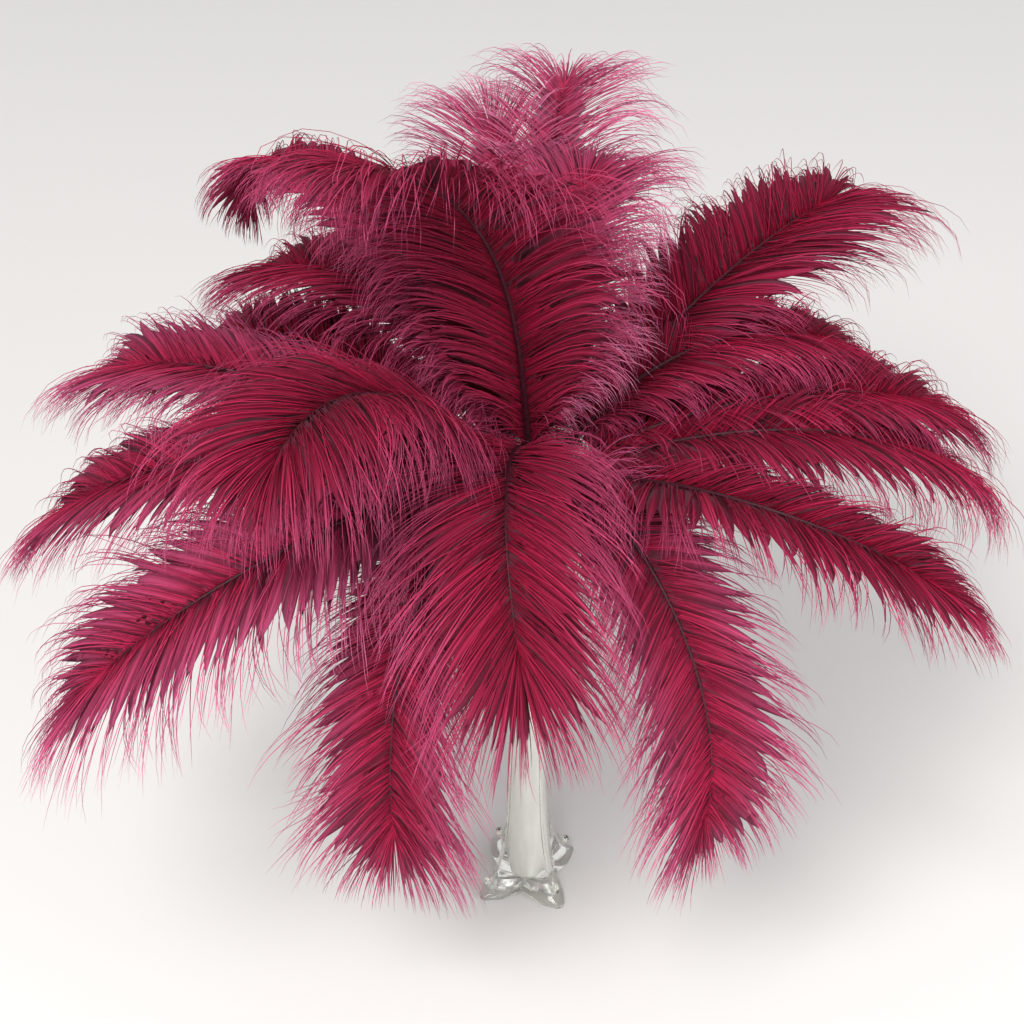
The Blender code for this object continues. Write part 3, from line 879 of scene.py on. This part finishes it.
# %% [markdown]
# ## Threads and curls
#
# As the feet are pulled, a thread of hot glass runs down each ridge, and its end is curled
# up into a small ball above the foot. They are too thin for the plain model, but they catch
# the light and tell the eye that the foot was made by hand.

# %% One thread with its ball
# Height and distance from the axis along a thread, from the stem to its curled end
THREAD_PATH = [
    (0.330, 0.0170),
    (0.240, 0.0176),
    (0.160, 0.0196),
    (0.110, 0.0220),
    (0.0716, 0.0255),
    (0.0500, 0.0305),
    (0.0355, 0.0350),
    (0.0240, 0.0395),
    (0.0180, 0.0435),
    (0.0165, 0.0472),
    (0.0195, 0.0492),
    (0.0220, 0.0472),
]
THREAD_PARTS = 6
THREAD_RADII = ([0.016, 0.100, 0.330], [0.0021, 0.0013, 0.0006])  # heights, and radii there
THREAD_SIDES = 10
BALL_RADIUS = 0.0037
BALL_SIDES = 20
BALL_STEPS = 12


def thread_and_ball(heading):
    """The thread of clear glass that runs down a ridge and ends in a curled ball."""
    angle = math.radians(heading)
    outwards = np.array([math.cos(angle), math.sin(angle), 0.0])
    across = np.array([[-math.sin(angle), math.cos(angle), 0.0]])
    path = smooth_rows(THREAD_PATH, THREAD_PARTS)
    line = outwards * path[:, 1:] - DOWN * path[:, :1]
    radii = np.interp(path[:, 0], *THREAD_RADII)[None]
    thread = tubes(line[None], radii, radii, across, THREAD_SIDES)
    around = np.arange(BALL_SIDES) * 360.0 / BALL_SIDES
    rings = []
    for turn in np.linspace(0.0, math.pi, BALL_STEPS)[1:-1]:
        rings.append(round_ring(around, BALL_RADIUS * math.sin(turn), -BALL_RADIUS * math.cos(turn)))
    ball_points, ball_triangles = skin(rings)
    return [thread, (ball_points + line[-1], ball_triangles)]


print("a thread with its ball has", sum(len(faces) for _, faces in thread_and_ball(0.0)), "triangles")

# %% [markdown]
# ## Two glasses
#
# The clear glass goes from under its domed base out over the feet, up to the lip, and down
# again inside along the pocket that holds the white core. Between the feet its lower edge
# arches off the floor, because only the pulled feet touch it. The white core is a tube with
# a wall of its own, open at the mouth, so the quills can be seen to stand inside it.

# %% Build the clear casing and the white core
ARCH_HEIGHT = 0.004  # how far the lower edge rises between the feet
ARCH_REACH = 0.012  # up to this height the glass follows the arch
ARCH_SWELL = 0.45
FUSED = 0.0003  # the clear glass reaches this far into the white
CORE_WALL = 0.0025
CORE_FLOOR = 0.015  # the white core is solid below this height


def build_casing():
    """The clear glass: outside from the foot to the lip, then down the pocket round the core."""
    swell = ridge_share(ring_headings)
    rings = []
    for height, face, ridge in smooth_rows(CASING_PROFILE, PARTS_BETWEEN_ROWS):
        outline = ring(ring_headings, face + (ridge - face) * swell, max(height, 0.0))
        lift = ARCH_HEIGHT * max(0.0, 1.0 - height / ARCH_REACH)
        outline[:, 2] += lift * np.clip(1.0 - swell / ARCH_SWELL, 0.0, 1.0)
        rings.append(outline)
    for height, radius in reversed(smooth_rows(CORE_PROFILE, PARTS_BETWEEN_ROWS)):
        rings.append(round_ring(ring_headings, radius - FUSED, height))
    rings[-1][:, 2] += FUSED
    shapes = [skin(rings)]
    for foot in range(FEET):
        shapes += thread_and_ball(FOOT_TURN + 360.0 / FEET * foot)
    points, triangles, _ = joined([(*shape, {}) for shape in shapes])
    return new_mesh_object("vase_clear_glass", points, triangles)


def build_core():
    """The white tube: its outside from the bottom up to the lip, and its inside down again."""
    outside = smooth_rows(CORE_PROFILE, PARTS_BETWEEN_ROWS)
    rings = [round_ring(ring_headings, radius, height) for height, radius in outside]
    for height, radius in reversed(outside):
        if height > CORE_FLOOR:
            rings.append(round_ring(ring_headings, radius - CORE_WALL, height))
    return new_mesh_object("vase_white_glass", *skin(rings))


casing, core = build_casing(), build_core()
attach(casing, "root")
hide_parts("vase_clear_casing")
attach(core, "root")
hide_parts("vase_white_core")
print("vase", len(casing.data.polygons) + len(core.data.polygons), "triangles")

# %% [markdown]
# ## Glass finishes
#
# Clear glass needs no colour of its own: it shows what is behind it, bent by its index of
# refraction, and a faint tint stands for the iron in it. Hand-pulled glass is never quite
# even, so a low bump makes the reflections waver. The white glass is opaque and glossy with
# light a little way into it, and faint clouds in its white.

# %% Glass materials
CLEAR_TINT = (0.985, 0.990, 0.955, 1.0)
GLASS_IOR = 1.50
WHITE_CLOUDS = ((0.86, 0.86, 0.83), (0.93, 0.93, 0.90))
WHITE_LIGHT_DEPTH = (0.004, 0.004, 0.004)


def clear_finish():
    finish, nodes, links = new_finish("clear_pulled_glass")
    surface = nodes.new("ShaderNodeBsdfPrincipled")
    surface.inputs["Base Color"].default_value = CLEAR_TINT
    surface.inputs["Roughness"].default_value = 0.02
    surface.inputs["IOR"].default_value = GLASS_IOR
    surface.inputs["Transmission Weight"].default_value = 1.0
    waves = nodes.new("ShaderNodeTexNoise")
    waves.inputs["Scale"].default_value = 60.0
    waves.inputs["Detail"].default_value = 2.0
    bump = nodes.new("ShaderNodeBump")
    bump.inputs["Strength"].default_value = 0.12
    bump.inputs["Distance"].default_value = 0.002
    links.new(waves.outputs["Fac"], bump.inputs["Height"])
    links.new(bump.outputs["Normal"], surface.inputs["Normal"])
    output = nodes.new("ShaderNodeOutputMaterial")
    links.new(surface.outputs["BSDF"], output.inputs["Surface"])
    return finish


def white_finish():
    finish, nodes, links = new_finish("white_milk_glass")
    clouds = nodes.new("ShaderNodeTexNoise")
    clouds.inputs["Scale"].default_value = 18.0
    clouds.inputs["Detail"].default_value = 3.0
    tint = ramp(nodes, [(0.3, WHITE_CLOUDS[0]), (0.7, WHITE_CLOUDS[1])])
    links.new(clouds.outputs["Fac"], tint.inputs["Fac"])
    surface = nodes.new("ShaderNodeBsdfPrincipled")
    links.new(tint.outputs["Color"], surface.inputs["Base Color"])
    surface.inputs["Roughness"].default_value = 0.15
    surface.inputs["Subsurface Weight"].default_value = 0.25
    surface.inputs["Subsurface Radius"].default_value = WHITE_LIGHT_DEPTH
    output = nodes.new("ShaderNodeOutputMaterial")
    links.new(surface.outputs["BSDF"], output.inputs["Surface"])
    return finish


casing.data.materials.append(clear_finish())
core.data.materials.append(white_finish())
print("glass finishes", casing.data.materials[0].name, "and", core.data.materials[0].name)

# %% [markdown]
# ## Stage and light
#
# The bouquet stands on a plain pale floor. One broad light high above the camera gives the
# lit tops and dark depths of the plumes. A weaker one opens the shadows on the right, one in
# front brightens the low plumes, and a small one near the floor reaches the glass foot, which
# the plumes would else leave in shadow. A pale world fills the rest.

# %% The floor
FLOOR_HALF = 6.0
FLOOR_TONES = ((0.61, 0.60, 0.59), (0.64, 0.63, 0.62))


def build_floor():
    corners = np.array([[-1, -1, 0], [1, -1, 0], [1, 1, 0], [-1, 1, 0]]) * FLOOR_HALF
    floor = new_mesh_object("floor", corners, np.array([[0, 1, 2], [0, 2, 3]]), smooth=False)
    finish, nodes, links = new_finish("pale_floor")
    mottle = nodes.new("ShaderNodeTexNoise")
    mottle.inputs["Scale"].default_value = 3.0
    tint = ramp(nodes, [(0.3, FLOOR_TONES[0]), (0.7, FLOOR_TONES[1])])
    links.new(mottle.outputs["Fac"], tint.inputs["Fac"])
    surface = nodes.new("ShaderNodeBsdfPrincipled")
    links.new(tint.outputs["Color"], surface.inputs["Base Color"])
    surface.inputs["Roughness"].default_value = 0.7
    output = nodes.new("ShaderNodeOutputMaterial")
    links.new(surface.outputs["BSDF"], output.inputs["Surface"])
    floor.data.materials.append(finish)


build_floor()
print("floor", 2 * FLOOR_HALF, "m wide")

# %% The lights and the world
Light = namedtuple("Light", "name place target size power colour")
LIGHTS = [
    Light("key", (-1.3, -2.9, 4.4), (0.0, 0.0, 0.45), 2.4, 290.0, (1.0, 0.98, 0.96)),
    Light("fill", (2.6, -1.6, 1.5), (0.0, 0.0, 0.45), 1.8, 40.0, (1.0, 0.99, 1.0)),
    Light("low", (0.0, -0.95, 0.16), (0.0, 0.0, 0.08), 0.35, 1.3, (1.0, 0.99, 0.97)),
    Light("front", (0.1, -2.9, 0.9), (0.0, 0.0, 0.30), 1.2, 18.0, (1.0, 0.98, 0.97)),
]
WORLD_STRENGTH = 0.75


def add_light(light):
    data = bpy.data.lights.new(light.name, "AREA")
    data.shape = "DISK"
    data.size = light.size
    data.energy = light.power
    data.color = light.colour
    lamp = bpy.data.objects.new(light.name, data)
    bpy.context.scene.collection.objects.link(lamp)
    lamp.location = light.place
    x, y, z = np.array(light.target) - np.array(light.place)
    lamp.rotation_euler = (math.atan2(math.hypot(x, y), -z), 0.0, math.atan2(-x, y))


for light in LIGHTS:
    add_light(light)
world = bpy.data.worlds.new("studio")
bpy.context.scene.world = world
world.use_nodes = True
background = world.node_tree.nodes["Background"]
background.inputs["Color"].default_value = (1.0, 1.0, 1.0, 1.0)
background.inputs["Strength"].default_value = WORLD_STRENGTH
bpy.context.scene.view_settings.view_transform = "Standard"
print("stage lit by", len(LIGHTS), "lights")

# %% [markdown]
# ## Camera
#
# The camera stands where the photograph was taken from: about a metre above the lip, looking
# down. A long lens keeps the near plumes from swelling. The standard view keeps the dye's
# colours as they are, without a film look.

# %% Camera
CAMERA_PLACE = (-0.015, -1.40, 1.507)
CAMERA_PITCH = 37.0
SENSOR_WIDTH = 36.0
FOCAL_PIXELS = 2030.0
PICTURE_PIXELS = 1024.0
camera_data = bpy.data.cameras.new("camera")
camera_data.sensor_width = SENSOR_WIDTH
camera_data.lens = SENSOR_WIDTH * FOCAL_PIXELS / PICTURE_PIXELS
camera = bpy.data.objects.new("camera", camera_data)
bpy.context.scene.collection.objects.link(camera)
camera.location = CAMERA_PLACE
camera.rotation_euler = (math.radians(90.0 - CAMERA_PITCH), 0.0, 0.0)
bpy.context.scene.camera = camera
print("camera at", CAMERA_PLACE, "with a lens of", round(camera_data.lens, 1), "mm")
